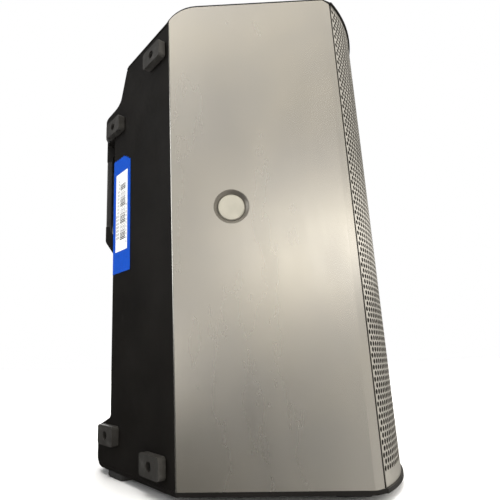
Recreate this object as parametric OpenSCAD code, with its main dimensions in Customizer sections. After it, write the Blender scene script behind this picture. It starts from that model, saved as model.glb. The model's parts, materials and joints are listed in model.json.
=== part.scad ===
// Powered loudspeaker cabinet. Front (grille) faces -Y, rear faces +Y, +Z is up.
// The origin is at the middle of the footprint, on the floor.

/* [Cabinet] */
// Width across the two side panels
body_w = 300; // [280:5:360]
// Height from the floor to the top cap
body_h = 520; // [500:5:600]
// Length of the flat side panel, front to rear
side_len = 176; // [160:2:200]
// Angle between a side panel and the angled rear side
bevel_angle = 52; // [50:1:54]
// Thickness of the moulded rear shell's walls
wall = 6; // [5:0.5:8]
// Thickness of the sheet metal side panels
skin = 1.5; // [1:0.1:2]

/* [Front] */
// Inward reach of the folded front strip of a side panel
strip_in = 6.5; // [5:0.5:10]
// Forward reach of the folded front strip
strip_fwd = 10; // [9:1:12]
// Outer radius of the curved grille
grille_r = 215; // [208:1:225]
// Thickness of the grille sheet
grille_t = 1.5; // [1:0.1:2]
// Lip of the bottom cap in front of the grille
cap_lip = 2; // [1:0.5:3]

/* [Rear] */
// Length of the angled rear side, at the middle of the cabinet
bevel_mid = 131; // [126:1:134]
// Length of the angled rear side, at the bottom bumper
bevel_low = 163; // [158:1:166]
// Length of the angled rear side, at the top bumper
bevel_high = 158; // [154:1:162]
// Reach of the handle behind the middle of the back
handle_out = 17.3; // [16:0.1:19]
// Width of the handle
handle_w = 28; // [24:1:32]

/* [Drivers] */
// Outer radius of a woofer frame
woofer_r = 83; // [78:1:86]
// Outer radius of a woofer cone
cone_r = 61.5; // [58:0.5:64]
// Number of small drivers in the vertical line
line_count = 4; // [2:1:4]

/* [Mounts] */
// Inner radius of the pole socket
pole_r = 18; // [17.5:0.1:18.5]
// Depth of the pole socket
pole_depth = 80; // [60:5:95]

/* [Hidden] */
$fn = 64;
eps = 0.01;
big = 700;
half_w = body_w / 2;
foot_h = 7;
cap_t = 4;
top_t = 1.7;
side_z0 = foot_h + cap_t;
side_z1 = body_h - top_t;
spigot = 8;
gap = 0.3;

// Grille centre, seen from above, relative to the rear edge of the side panel
strip_x = half_w - strip_in;
strip_y = -side_len - strip_fwd;
grille_half = asin(strip_x / grille_r);
grille_cy = strip_y + grille_r * cos(grille_half);
front_rel = grille_cy - grille_r - cap_lip;
back_mid = bevel_mid * cos(bevel_angle);
back_low = bevel_low * cos(bevel_angle);
back_high = bevel_high * cos(bevel_angle);
rear_rel = back_mid + handle_out;
rear_end = max(rear_rel, back_low, back_high);
// Rear edge of the side panel, with the whole cabinet centred on Y
edge_y = -(front_rel + rear_end) / 2;

// Placing of the main features
handle_z = [252, 441];
grip_z = [300, 394];
handle_t = 8.4;
foot_size = [36, 21, 8.5];
foot_spots = [[24.8, 469.7], [122.1, 422.3], [128, 44.6], [32.7, 28]];
// Floor feet: centre, and the turn of the long side away from Y
floor_feet = [[118, -163, 0], [47.6, 65.4, bevel_angle]];
floor_foot_size = [22, 35];
dimple = [-62, 276];
dimple_r = 18.3;
plug_r = 13.8;
woofer_z = [122, 405];
line_z = (woofer_z[0] + woofer_z[1]) / 2;
line_pitch = 26;
port_x = 100;
baffle_y = [-185, -170];
pole_y = -62;
brace_z = [214, 313];

// Rear panel: half width, bottom, top, and the rows of controls
panel_hw = 43;
panel_z = [66, 256];
window_hw = 37;
window_z = [70, 246];
panel_t = 2.5;
panel_inset = 9;
panel_y = back_mid - panel_inset;
chassis_y = panel_y - 60.6;
board_y = panel_y - 44.6;
knob_x = 22;
gain_z = 198;
tone_z = 174;
jack_x = 21;
jack_z = 145;
out_z = 111.5;
rocker_x = 21;
rocker_z = 112;
inlet_x = 8;
inlet_z = 83.5;
button_x = 7;
panel_screw_x = 39.8;
panel_screw_z = [70, 130, 190, 252];
shaft_r = 3;
jack_r = 12;
rocker_tilt = 7;
rocker_pin = 0.75;

// ---------- helpers ----------

function unit(v) = v / norm(v);

// Points of a fillet of radius p[2] at corner p, between its neighbours a and b
function fillet(a, p, b, n = 6) =
    let (c = [p[0], p[1]], r = p[2])
    r == 0 ? [c] :
    let (
        da = unit([a[0], a[1]] - c),
        db = unit([b[0], b[1]] - c),
        h = acos(da * db) / 2,
        o = c + unit(da + db) * (r / sin(h)),
        s = c + da * (r / tan(h)) - o,
        e = c + db * (r / tan(h)) - o,
        s_ang = atan2(s[1], s[0]),
        turn = atan2(s[0] * e[1] - s[1] * e[0], s * e)
    )
    [for (i = [0:n]) o + r * [cos(s_ang + turn * i / n), sin(s_ang + turn * i / n)]];

// A closed outline from corners [x, y, radius]
function rounded(pts) =
    let (k = len(pts))
    [for (i = [0:k - 1]) each fillet(pts[(i + k - 1) % k], pts[i], pts[(i + 1) % k])];

module both() {
    children();
    mirror([1, 0, 0]) children();
}

// Moves the origin to the rear edge of the side panels
module local() {
    translate([0, edge_y, 0]) children();
}

// An outline in the Y-Z plane, extruded across the cabinet
module across(pts, half = half_w + 10) {
    rotate([90, 0, 90]) translate([0, 0, -half]) linear_extrude(2 * half) polygon(pts);
}

// A place on the right angled side: local X runs rearward, Y up, Z outward
module on_bevel(m, z, out = 0) {
    s = sin(bevel_angle);
    c = cos(bevel_angle);
    multmatrix([
        [-s, 0, c, half_w - m * s + out * c],
        [c, 0, s, m * c + out * s],
        [0, 1, 0, z],
        [0, 0, 0, 1]
    ]) children();
}

// A cylinder along +Y from y0 to y1
module rod_y(x, z, r, y0, y1) {
    translate([x, y0, z]) rotate([-90, 0, 0]) cylinder(r = r, h = y1 - y0);
}

module box_y(x0, x1, y0, y1, z0, z1) {
    translate([x0, y0, z0]) cube([x1 - x0, y1 - y0, z1 - z0]);
}

// A plate in the X-Z plane with rounded corners
module plate_y(x, z, w, h, r, y0, y1) {
    pts = rounded([[-w / 2, -h / 2, r], [w / 2, -h / 2, r], [w / 2, h / 2, r], [-w / 2, h / 2, r]]);
    translate([x, y1, z]) rotate([90, 0, 0]) linear_extrude(y1 - y0) polygon(pts);
}

// Plan of the cabinet behind the front fold, inset by t, ending at the line y = back
function plan(t, front, back) =
    let (
        xb = half_w - (t + back * sin(bevel_angle)) / cos(bevel_angle),
        ye = -t * tan(bevel_angle / 2)
    )
    [[half_w - t, front], [half_w - t, ye], [xb, back],
     [-xb, back], [-half_w + t, ye], [-half_w + t, front]];

// Side outline of the cabinet, lowered by d in front of its rear top corner
function profile(z0, d, front = -260) = rounded([
    [front, z0, 0],
    [back_low, z0, 9],
    [back_low, 51, 4],
    [back_mid, 63, 6],
    [back_mid, 410, 6],
    [back_high, 421, 4],
    [back_high, 451.5, 5],
    [72, 455, 13],
    [60.5, 499.5 - d, 5],
    [0.5, 501 - d, 3],
    [-12.5, body_h - d, 38],
    [front, body_h - d, 0]
]);

// Everything in front of the fold, seen from above, out to radius r
module front_plan(r, z0, z1) {
    intersection() {
        translate([0, grille_cy, z0]) cylinder(r = r, h = z1 - z0, $fn = 128);
        box_y(-half_w, half_w, -260, -side_len + 20, z0, z1);
        translate([0, 0, z0]) linear_extrude(z1 - z0) polygon([
            [half_w, -side_len + 20], [half_w, -side_len], [strip_x + 1, strip_y],
            [strip_x + 1, -260], [-strip_x - 1, -260], [-strip_x - 1, strip_y],
            [-half_w, -side_len], [-half_w, -side_len + 20]
        ]);
    }
}

// ---------- enclosure ----------

module handle_slot() {
    hw = handle_w / 2 + gap;
    box_y(-hw, hw, back_mid, back_high + 10, 396, 441 + gap);
}

module rear_shell() {
    inner = wall + skin;
    color("#1c1a19") local() difference() {
        intersection() {
            translate([0, 0, side_z0]) linear_extrude(big) polygon(concat(
                [[half_w - skin, -side_len + 2], [half_w - skin, 0]],
                [for (p = plan(0, 0, back_low + 5)) if (abs(p[1]) > 0.001) p],
                [[-half_w + skin, 0], [-half_w + skin, -side_len + 2]]
            ));
            across(profile(side_z0 - 3, top_t));
        }
        difference() {
            intersection() {
                linear_extrude(big) polygon(plan(inner, -260, back_mid - inner));
                across(rounded([
                    [-250, -5, 0], [back_mid - inner, -5, 0], [back_mid - inner, 440, 4],
                    [63, 449, 12], [52.5, 494, 0], [52.5, body_h + 20, 0], [-250, body_h + 20, 0]
                ]));
            }
            panel_surround();
        }
        handle_slot();
        panel_recess();
        pocket_space(gap);
        for (s = [-1, 1]) {
            fly_space(s, dimple_r + 0.1);
        }
        both() for (p = foot_spots) on_bevel(p[0], p[1], -9) cylinder(r = 1.8, h = 10);
        handle_screw_space(1.9);
    }
}

// Thick part of the rear wall that carries the inset panel
module panel_surround() {
    hw = panel_hw + 7;
    box_y(-hw, hw, panel_y - panel_t - 7.5, back_mid + 1, panel_z[0] - 7, panel_z[1] + 7);
}

module panel_recess() {
    depth = panel_t + 1;
    box_y(-panel_hw - gap, panel_hw + gap, panel_y - depth, back_mid + 1, panel_z[0] - gap, panel_z[1] + gap);
    box_y(-window_hw, window_hw, panel_y - 20, panel_y, window_z[0], window_z[1]);
    for (s = [-1, 1], z = panel_screw_z) {
        rod_y(s * panel_screw_x, z, 1.7, panel_y - 12, panel_y);
    }
}

// Flat sheet with its folded front strip; the top rear corner follows the top cap
module side_panel() {
    n = unit([strip_fwd, strip_in]);
    in_x = strip_x - skin * n[0];
    in_y = strip_y + skin * n[1];
    fold_y = in_y + (half_w - skin - in_x) * strip_fwd / strip_in;
    difference() {
        intersection() {
            translate([0, 0, side_z0]) linear_extrude(big) polygon([
                [half_w, 0], [half_w, -side_len], [strip_x, strip_y],
                [in_x, in_y], [half_w - skin, fold_y], [half_w - skin, 0]
            ]);
            across(profile(side_z0 - 3, top_t));
        }
        fly_space(1, dimple_r);
    }
}

module side_panel_left() {
    color("#c9c5b4") local() mirror([1, 0, 0]) side_panel();
}

module side_panel_right() {
    color("#c9c5b4") local() side_panel();
}

// Outline of everything below the top cap's sheet
function under_cap() = concat(
    [[-300, 0], [62, 0], [62, 497.3]],
    [for (p = profile(side_z0, top_t)) if (p[1] > 497.4 && p[0] < 60) p],
    [[-300, side_z1]]
);

module top_cap() {
    inner = wall + skin + gap;
    front_cut = baffle_y[1] + gap;
    color("#201e1c") local() {
        difference() {
            intersection() {
                union() {
                    linear_extrude(big) polygon(plan(0, -side_len, 61));
                    front_plan(grille_r + cap_lip, side_z1, body_h);
                }
                across(profile(side_z0, 0));
                box_y(-half_w, half_w, -260, 60.5, 480, big);
            }
            across(under_cap());
        }
        intersection() {
            linear_extrude(big) polygon(plan(inner, front_cut, 52.2));
            difference() {
                across(under_cap());
                translate([0, 0, -spigot]) across(under_cap());
            }
        }
    }
}

module bottom_cap() {
    inner = wall + skin + gap;
    color("#201e1c") local() difference() {
        union() {
            intersection() {
                union() {
                    translate([0, 0, foot_h]) linear_extrude(cap_t)
                        polygon(plan(0, -side_len, back_low));
                    front_plan(grille_r + cap_lip, foot_h, side_z0);
                }
                across(profile(foot_h, top_t));
            }
            translate([0, 0, side_z0]) linear_extrude(spigot)
                polygon(plan(inner, baffle_y[1] + gap, back_mid - inner));
        }
        translate([0, pole_y, -eps]) cylinder(r = pole_r + 4 + 0.1, h = 60);
        translate([0, pole_y, foot_h - eps]) cylinder(r = pole_r + 14 + 0.2, h = 3);
        both() for (p = floor_feet) translate([p[0], p[1], 0]) cylinder(r = 2, h = 40);
    }
}

// Board that carries the drivers, closing the front of the shell
module front_baffle() {
    hw = half_w - wall - skin - 0.2;
    color("#26221f") local() difference() {
        translate([0, 0, side_z0 + gap]) linear_extrude(side_z1 - side_z0 - 2 * gap) polygon([
            [strip_x - 1.6, baffle_y[0]], [hw, baffle_y[0] + 6.5], [hw, baffle_y[1]],
            [-hw, baffle_y[1]], [-hw, baffle_y[0] + 6.5], [-strip_x + 1.6, baffle_y[0]]
        ]);
        for (z = woofer_z) {
            rod_y(0, z, woofer_r - 9.8, baffle_y[0] - 1, baffle_y[1] + 1);
        }
        box_y(-17, 17, baffle_y[0] - 1, baffle_y[1] + 1, line_z - 52, line_z + 52);
        for (s = [-1, 1]) {
            rod_y(s * port_x, line_z, 24.2, baffle_y[0] - 1, baffle_y[1] + 1);
        }
    }
}

module arc_sheet(r_out, r_in, half, z0, z1) {
    tip = [r_out * 2 * sin(half), -r_out * 2 * cos(half)];
    intersection() {
        translate([0, grille_cy, z0]) difference() {
            cylinder(r = r_out, h = z1 - z0, $fn = 160);
            translate([0, 0, -1]) cylinder(r = r_in, h = z1 - z0 + 2, $fn = 160);
        }
        translate([0, grille_cy, z0]) linear_extrude(z1 - z0) polygon([[0, 0], [-tip[0], tip[1]], tip]);
    }
}

module grille() {
    color("#b9b5a6") local()
        arc_sheet(grille_r, grille_r - grille_t, grille_half - 0.4, side_z0 + 0.2, side_z1 - 0.2);
}

module grille_foam() {
    r = grille_r - grille_t - 0.3;
    color("#141312") local() arc_sheet(r, r - 4, grille_half - 3.2, side_z0 + 6, side_z1 - 6);
}

// ---------- drivers ----------

module woofer_frame(z) {
    y0 = baffle_y[0];
    back = y0 + 72;
    color("#2b2b2c") local() translate([0, 0, z]) difference() {
        union() {
            rod_y(0, 0, woofer_r, y0 - 4, y0);
            rod_y(0, 0, woofer_r - 10, y0 - 4, y0 + 24);
            rod_y(0, 0, 40, back - 6, back);
            for (a = [0:60:359]) {
                rotate([0, a, 0]) box_y(34, woofer_r - 10, y0 + 20, back, -6, 6);
            }
        }
        rod_y(0, 0, cone_r + 8, y0 - 5, y0 + 21);
        translate([0, y0 + 20, 0]) rotate([-90, 0, 0])
            cylinder(r1 = cone_r + 4, r2 = 26, h = back - y0 - 26);
        rod_y(0, 0, 26, y0 + 20, back + 1);
        for (a = [22.5:45:359]) {
            rotate([0, a, 0]) rod_y(woofer_r - 5, 0, 2.3, y0 - 5, y0 + 1);
        }
    }
}

module woofer_frame_lower() {
    woofer_frame(woofer_z[0]);
}

module woofer_frame_upper() {
    woofer_frame(woofer_z[1]);
}

module woofer_magnet(z) {
    y0 = baffle_y[0] + 72;
    color("#6b6a68") local() translate([0, 0, z]) difference() {
        union() {
            rod_y(0, 0, 44, y0, y0 + 5);
            rod_y(0, 0, 47, y0 + 5, y0 + 21);
            rod_y(0, 0, 44, y0 + 21, y0 + 27);
        }
        difference() {
            rod_y(0, 0, 14.5, y0 - 1, y0 + 21);
            rod_y(0, 0, 11.5, y0 - 2, y0 + 22);
        }
    }
}

module woofer_magnet_lower() {
    woofer_magnet(woofer_z[0]);
}

module woofer_magnet_upper() {
    woofer_magnet(woofer_z[1]);
}

// Half-roll of rubber between the frame and the cone
module woofer_surround(z) {
    y0 = baffle_y[0];
    color("#1a1a1a") local() translate([0, 0, z]) difference() {
        union() {
            rod_y(0, 0, cone_r + 7.8, y0 - 3, y0 - 1);
            translate([0, y0 - 2, 0]) rotate([90, 0, 0])
                rotate_extrude() translate([cone_r + 4, 0]) circle(r = 3.2, $fn = 32);
        }
        rod_y(0, 0, cone_r + 0.5, y0 - 9, y0 + 9);
        rod_y(0, 0, cone_r + 20, y0 - 1, y0 + 9);
        translate([0, y0 - 1, 0]) rotate([90, 0, 0])
            rotate_extrude() translate([cone_r + 4, 0]) circle(r = 2, $fn = 32);
    }
}

module woofer_surround_lower() {
    woofer_surround(woofer_z[0]);
}

module woofer_surround_upper() {
    woofer_surround(woofer_z[1]);
}

// Paper cone on its voice coil former
module woofer_cone(z) {
    y0 = baffle_y[0];
    deep = 30;
    color("#1e1d1c") local() translate([0, y0, z]) rotate([-90, 0, 0]) rotate_extrude() polygon([
        [cone_r, -2.5], [cone_r, -1.2], [14, deep + 1], [13.6, 86], [12.4, 86],
        [12.4, deep - 1], [cone_r - 5, -1.4], [cone_r - 5, -2.5]
    ]);
}

module woofer_cone_lower() {
    woofer_cone(woofer_z[0]);
}

module woofer_cone_upper() {
    woofer_cone(woofer_z[1]);
}

module dust_cap(z) {
    y0 = baffle_y[0];
    rise = 7;
    rim = 21;
    ball = (rim * rim + rise * rise) / (2 * rise);
    color("#242322") local() translate([0, y0 + 23.8, z]) intersection() {
        difference() {
            translate([0, ball - rise, 0]) sphere(r = ball, $fn = 96);
            translate([0, ball - rise, 0]) sphere(r = ball - 1, $fn = 96);
        }
        rod_y(0, 0, rim - 1, -rise - 1, -0.3);
    }
}

module dust_cap_lower() {
    dust_cap(woofer_z[0]);
}

module dust_cap_upper() {
    dust_cap(woofer_z[1]);
}

function line_spots() = [for (i = [0:line_count - 1]) line_z + (i - (line_count - 1) / 2) * line_pitch];

// Horn plate of the vertical line of small drivers
module line_plate() {
    y0 = baffle_y[0];
    color("#232221") local() difference() {
        plate_y(0, line_z, 96, 112, 6, y0 - 8, y0);
        for (z = line_spots()) {
            translate([0, y0 - 9, z]) rotate([-90, 0, 0]) cylinder(r1 = 13, r2 = 10.6, h = 10);
        }
    }
}

module line_domes() {
    y0 = baffle_y[0];
    color("#8d8a84") local() for (z = line_spots()) {
        translate([0, y0 + 3, z]) intersection() {
            sphere(r = 10.2);
            rod_y(0, 0, 12, -9, 0);
        }
    }
}

module line_magnets() {
    y0 = baffle_y[0];
    color("#6b6a68") local() for (z = line_spots()) {
        rod_y(0, z, 12.6, y0 + 3.1, y0 + 26);
    }
}

module port_tubes() {
    color("#1d1c1b") local() for (s = [-1, 1]) {
        difference() {
            union() {
                rod_y(s * port_x, line_z, 24, baffle_y[0] - 2, baffle_y[0] + 95);
                rod_y(s * port_x, line_z, 30, baffle_y[0] - 3, baffle_y[0]);
            }
            rod_y(s * port_x, line_z, 21.5, baffle_y[0] - 5, baffle_y[0] + 96);
        }
    }
}

// ---------- inside ----------

module cross_braces() {
    hw = half_w - wall - skin;
    color("#8a6a45") local() for (z = brace_z) {
        box_y(-hw, hw, -30, -12, z - 9, z + 9);
    }
}

module damping_pads() {
    hw = half_w - wall - skin;
    color("#c8c6bf") local() both() for (z = [[32, 200], [330, 480]]) {
        box_y(hw - 9, hw, -165, -12, z[0], z[1]);
    }
}

// ---------- fly points ----------

module fly_space(s, r) {
    translate([s * (half_w - 30), dimple[0], dimple[1]]) rotate([0, s * 90, 0]) cylinder(r = r, h = 40);
}

// Axis of a fly point: local Z points out of the right side
module at_fly() {
    local() both() translate([half_w, dimple[0], dimple[1]]) rotate([0, 90, 0]) children();
}

module fly_cups() {
    color("#b7b3a5") at_fly() difference() {
        translate([0, 0, -22]) cylinder(r = dimple_r - 0.05, h = 21.9);
        translate([0, 0, -3.4]) cylinder(r1 = plug_r + 0.4, r2 = dimple_r - 0.6, h = 3.5);
        translate([0, 0, -9]) cylinder(r = plug_r + 0.4, h = 6);
        translate([0, 0, -23]) cylinder(r = 8.05, h = 24);
    }
}

module fly_plugs() {
    color("#d5cfb9") at_fly() {
        translate([0, 0, -8.5]) cylinder(r = plug_r, h = 5.4);
        translate([0, 0, -3.1]) cylinder(r1 = plug_r, r2 = plug_r - 0.8, h = 0.8);
    }
}

module fly_inserts() {
    color("#9a9994") at_fly() difference() {
        translate([0, 0, -24]) union() {
            cylinder(r = 8, h = 14);
            cylinder(r = 12, h = 2);
        }
        translate([0, 0, -25]) cylinder(r = 4.25, h = 20);
    }
}

// ---------- feet, socket ----------

module monitor_feet() {
    w = foot_size[0];
    h = foot_size[1];
    t = foot_size[2];
    pts = rounded([[-w / 2, -h / 2, 3.5], [w / 2, -h / 2, 3.5], [w / 2, h / 2, 3.5], [-w / 2, h / 2, 3.5]]);
    color("#4b4845") local() both() for (p = foot_spots) {
        on_bevel(p[0], p[1]) difference() {
            linear_extrude(t) polygon(pts);
            translate([0, 0, 2.5]) cylinder(r = 4.6, h = t);
            translate([0, 0, -1]) cylinder(r = 2.1, h = t);
        }
    }
}

module monitor_foot_screws() {
    color("#3a3a3a") local() both() for (p = foot_spots) {
        on_bevel(p[0], p[1]) {
            difference() {
                translate([0, 0, 2.5]) cylinder(r = 3.9, h = 2.2);
                for (a = [0, 90]) {
                    rotate([0, 0, a]) translate([-2.4, -0.5, 3.7]) cube([4.8, 1, 2]);
                }
            }
            translate([0, 0, -8]) cylinder(r = 1.7, h = 10.5);
        }
    }
}

// Outline of a floor foot, inset by d
function floor_foot(d) =
    let (w = floor_foot_size[0] / 2 - d, l = floor_foot_size[1] / 2 - d)
    rounded([[-w, -l, 5 - d], [w, -l, 5 - d], [w, l, 5 - d], [-w, l, 5 - d]]);

module floor_feet() {
    color("#1b1b1b") local() both() for (p = floor_feet) {
        translate([p[0], p[1], 0]) rotate([0, 0, p[2]]) difference() {
            union() {
                linear_extrude(1.5) polygon(floor_foot(1));
                translate([0, 0, 1.5]) linear_extrude(foot_h - 1.5) polygon(floor_foot(0));
            }
            translate([0, 0, -1]) cylinder(r = 5, h = 4);
            cylinder(r = 2.2, h = 10);
        }
    }
}

module floor_foot_screws() {
    color("#8b8b88") local() both() for (p = floor_feet) {
        translate([p[0], p[1], 0]) {
            translate([0, 0, 3]) mirror([0, 0, 1]) cylinder(r = 4, h = 2);
            translate([0, 0, 3]) cylinder(r = 1.9, h = 15);
        }
    }
}

module pole_socket() {
    z0 = foot_h;
    color("#262626") local() translate([0, pole_y, z0]) difference() {
        union() {
            cylinder(r = pole_r + 4, h = pole_depth + 4);
            cylinder(r = pole_r + 14, h = 2.8);
        }
        translate([0, 0, -1]) cylinder(r = pole_r, h = pole_depth + 1);
    }
}

// ---------- handle ----------

function handle_outline() = rounded([
    [back_mid, handle_z[0], 0], [rear_rel, handle_z[0] + 27, 8], [rear_rel, handle_z[1] - 13, 7],
    [rear_rel - 7, handle_z[1], 3], [back_mid, handle_z[1], 0], [back_mid, handle_z[1] - 28, 0],
    [rear_rel - handle_t, handle_z[1] - 40, 7], [rear_rel - handle_t, handle_z[0] + 40, 7],
    [back_mid, handle_z[0] + 26, 0]
]);

// Core of the bar inside the grip sleeve
module handle_core(z0, z1) {
    box_y(-handle_w / 2 + 2, handle_w / 2 - 2, rear_rel - handle_t + 1.8, rear_rel - 1.8, z0, z1);
}

module handle_bar() {
    color("#211f1e") local() difference() {
        across(handle_outline(), handle_w / 2);
        difference() {
            box_y(-20, 20, rear_rel - handle_t - 1, rear_rel + 1, grip_z[0], grip_z[1]);
            handle_core(grip_z[0] - 1, grip_z[1] + 1);
        }
        handle_screw_space(2.2);
        rod_y(0, handle_z[0] + 13, 4.7, back_mid + 3, rear_rel + 5);
        rod_y(0, handle_z[1] - 14, 4.7, back_mid + 3, rear_rel + 5);
    }
}

module handle_grip() {
    w = handle_w / 2;
    y0 = rear_rel - handle_t;
    color("#2b2826") local() difference() {
        translate([0, 0, grip_z[0]]) linear_extrude(grip_z[1] - grip_z[0]) polygon(rounded([
            [-w, y0, 2.5], [w, y0, 2.5], [w, rear_rel, 3], [-w, rear_rel, 3]
        ]));
        handle_core(grip_z[0] - 1, grip_z[1] + 1);
    }
}

module handle_screw_space(r) {
    for (z = [handle_z[0] + 13, handle_z[1] - 14]) {
        rod_y(0, z, r, back_mid - 20, back_mid + 6);
    }
}

module handle_screws() {
    color("#2f2f2f") local() for (z = [handle_z[0] + 13, handle_z[1] - 14]) {
        difference() {
            union() {
                rod_y(0, z, 4.3, back_mid + 3, back_mid + 6);
                rod_y(0, z, 1.8, back_mid - 9, back_mid + 3);
            }
            rod_y(0, z, 2, back_mid + 4.5, back_mid + 7);
        }
    }
}

// Hand recess behind the handle
module pocket_space(extra) {
    plate_y(0, 342, 68 + 2 * extra, 116 + 2 * extra, 6 + extra, back_mid - 32, back_mid + 1);
}

module handle_pocket() {
    color("#1a1918") local() difference() {
        plate_y(0, 342, 68, 116, 6, back_mid - 28, back_mid - 0.6);
        plate_y(0, 342, 63, 111, 4, back_mid - 25.5, back_mid + 1);
    }
}

// ---------- amplifier ----------

module amp_panel() {
    y0 = panel_y - panel_t;
    color("#232222") local() difference() {
        plate_y(0, (panel_z[0] + panel_z[1]) / 2, 2 * panel_hw, panel_z[1] - panel_z[0], 2, y0, panel_y);
        box_y(-32, 32, y0 - 1, panel_y + 1, 216, 246);
        for (s = [-1, 1], z = [gain_z, tone_z]) {
            rod_y(s * knob_x, z, shaft_r + 0.5, y0 - 1, panel_y + 1);
        }
        for (s = [-1, 1]) {
            rod_y(s * jack_x, jack_z, jack_r, y0 - 1, panel_y + 1);
            latch_space(s * jack_x);
            box_y(s * button_x - 3.4, s * button_x + 3.4, y0 - 1, panel_y + 1, tone_z - 3.4, tone_z + 3.4);
        }
        rod_y(-jack_x, out_z, jack_r, y0 - 1, panel_y + 1);
        box_y(rocker_x - 7.2, rocker_x + 7.2, y0 - 1, panel_y + 1, rocker_z - 10.2, rocker_z + 10.2);
        box_y(inlet_x - 14, inlet_x + 14, y0 - 1, panel_y + 1, inlet_z - 10, inlet_z + 10);
        for (dz = [-7, 0, 7]) {
            rod_y(0, gain_z + dz, 1.55, y0 - 1, panel_y + 1);
        }
        for (s = [-1, 1], z = panel_screw_z) {
            rod_y(s * panel_screw_x, z, 1.7, y0 - 1, panel_y + 1);
        }
    }
}

module amp_gasket() {
    y1 = panel_y - panel_t;
    hw = window_hw;
    color("#121212") local() difference() {
        box_y(-panel_hw, panel_hw, y1 - 1, y1, panel_z[0], panel_z[1]);
        box_y(-hw, hw, y1 - 2, y1 + 1, window_z[0], window_z[1]);
        box_y(inlet_x - 14, inlet_x + 14, y1 - 2, y1 + 1, inlet_z - 12, inlet_z + 10);
        for (s = [-1, 1], z = panel_screw_z) {
            rod_y(s * panel_screw_x, z, 1.7, y1 - 2, y1 + 1);
        }
    }
}

// Sheet metal bracket behind the rear panel
module amp_chassis() {
    hw = window_hw - 1;
    y1 = panel_y - panel_t;
    color("#a3a3a0") local() {
        box_y(-hw, hw, chassis_y, y1, window_z[0] + 1, window_z[0] + 2.5);
        box_y(-hw, hw, chassis_y, y1, window_z[1] - 2.5, window_z[1] - 1);
        box_y(-hw, hw, chassis_y - 1.5, chassis_y, window_z[0] + 1, window_z[1] - 1);
    }
}

module heat_sink() {
    y1 = panel_y + 5;
    color("#4a4a4a") local() {
        box_y(-31.8, 31.8, panel_y - 10, panel_y - 2, 216.2, 242.8);
        for (i = [0:8]) {
            box_y(-31.8 + i * 7.7, -29.8 + i * 7.7, panel_y - 2, y1, 216.2, 242.8);
        }
    }
}

module circuit_board() {
    color("#2c6b3c") local() {
        box_y(-34, 34, board_y, board_y + 1.6, 82, 240);
        for (p = [[-22, 100, 9], [0, 100, 9], [22, 160, 6], [-18, 190, 6]]) {
            rod_y(p[0], p[1], p[2], board_y + 1.5, board_y + 10);
        }
        box_y(4, 26, board_y + 1.5, board_y + 6, 190, 212);
    }
}

module transformer() {
    color("#b07a3c") local() difference() {
        rod_y(0, 161, 34, chassis_y - 34, chassis_y - 1.6);
        rod_y(0, 161, 11, chassis_y - 35, chassis_y);
    }
}

module amp_screws() {
    color("#2a2a2a") local() for (s = [-1, 1], z = panel_screw_z) {
        difference() {
            union() {
                rod_y(s * panel_screw_x, z, 2.9, panel_y, panel_y + 1.8);
                rod_y(s * panel_screw_x, z, 1.6, panel_y - 11, panel_y);
            }
            for (a = [0, 90]) {
                translate([s * panel_screw_x, 0, z]) rotate([0, a, 0])
                    box_y(-1.8, 1.8, panel_y + 0.9, panel_y + 3, -0.4, 0.4);
            }
        }
    }
}

// ---------- controls ----------

module control_pots() {
    y1 = panel_y - panel_t;
    color("#8f8f8c") local() for (s = [-1, 1], z = [gain_z, tone_z]) {
        difference() {
            rod_y(s * knob_x, z, 8, y1 - 9, y1);
            rod_y(s * knob_x, z, shaft_r + 0.1, y1 - 8, y1 + 1);
        }
    }
}

module knob(x, z, r) {
    y0 = panel_y + 0.6;
    color("#151515") local() difference() {
        union() {
            translate([x, y0, z]) rotate([-90, 0, 0]) cylinder(r = r + 0.8, h = 2);
            translate([x, y0 + 2, z]) rotate([-90, 0, 0]) cylinder(r1 = r, r2 = r - 0.8, h = 10);
            rod_y(x, z, shaft_r, panel_y - panel_t - 7, y0);
        }
        box_y(x - 0.5, x + 0.5, y0 + 11.2, y0 + 13, z + r * 0.35, z + r + 2);
        for (a = [0:30:359]) {
            translate([x, 0, z]) rotate([0, a, 0]) rod_y(r + 0.35, 0, 0.9, y0 + 2.5, y0 + 13);
        }
    }
}

module gain_1_knob() {
    knob(-knob_x, gain_z, 7.5);
}

module gain_2_knob() {
    knob(knob_x, gain_z, 7.5);
}

module treble_knob() {
    knob(-knob_x, tone_z, 6);
}

module bass_knob() {
    knob(knob_x, tone_z, 6);
}

module push_button(x) {
    y1 = panel_y - panel_t;
    color("#b9b9b5") local() {
        box_y(x - 3.2, x + 3.2, y1 - 5, panel_y + 3, tone_z - 3.2, tone_z + 3.2);
    }
}

module input_1_button() {
    push_button(-button_x);
}

module input_2_button() {
    push_button(button_x);
}

module button_housings() {
    y1 = panel_y - panel_t;
    color("#1f1f1f") local() for (s = [-1, 1]) {
        difference() {
            box_y(s * button_x - 5, s * button_x + 5, y1 - 10, y1, tone_z - 5, tone_z + 5);
            box_y(s * button_x - 3.4, s * button_x + 3.4, y1 - 8.5, y1 + 1, tone_z - 3.4, tone_z + 3.4);
        }
    }
}

// Combined microphone and jack inputs
module input_jacks() {
    color("#191919") local() for (s = [-1, 1]) {
        difference() {
            union() {
                plate_y(s * jack_x, jack_z, 26, 31, 3, panel_y, panel_y + 2);
                rod_y(s * jack_x, jack_z, 11.8, panel_y - 26, panel_y);
            }
            difference() {
                rod_y(s * jack_x, jack_z, 9.6, panel_y - 14, panel_y + 3);
                rod_y(s * jack_x, jack_z, 6.6, panel_y - 15, panel_y - 1);
            }
            rod_y(s * jack_x, jack_z, 3.3, panel_y - 22, panel_y + 3);
            latch_space(s * jack_x);
            for (k = [-1, 1]) {
                rod_y(s * jack_x - k * 9.5, jack_z + k * 12, 1.6, panel_y - 1, panel_y + 3);
            }
        }
    }
}

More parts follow.
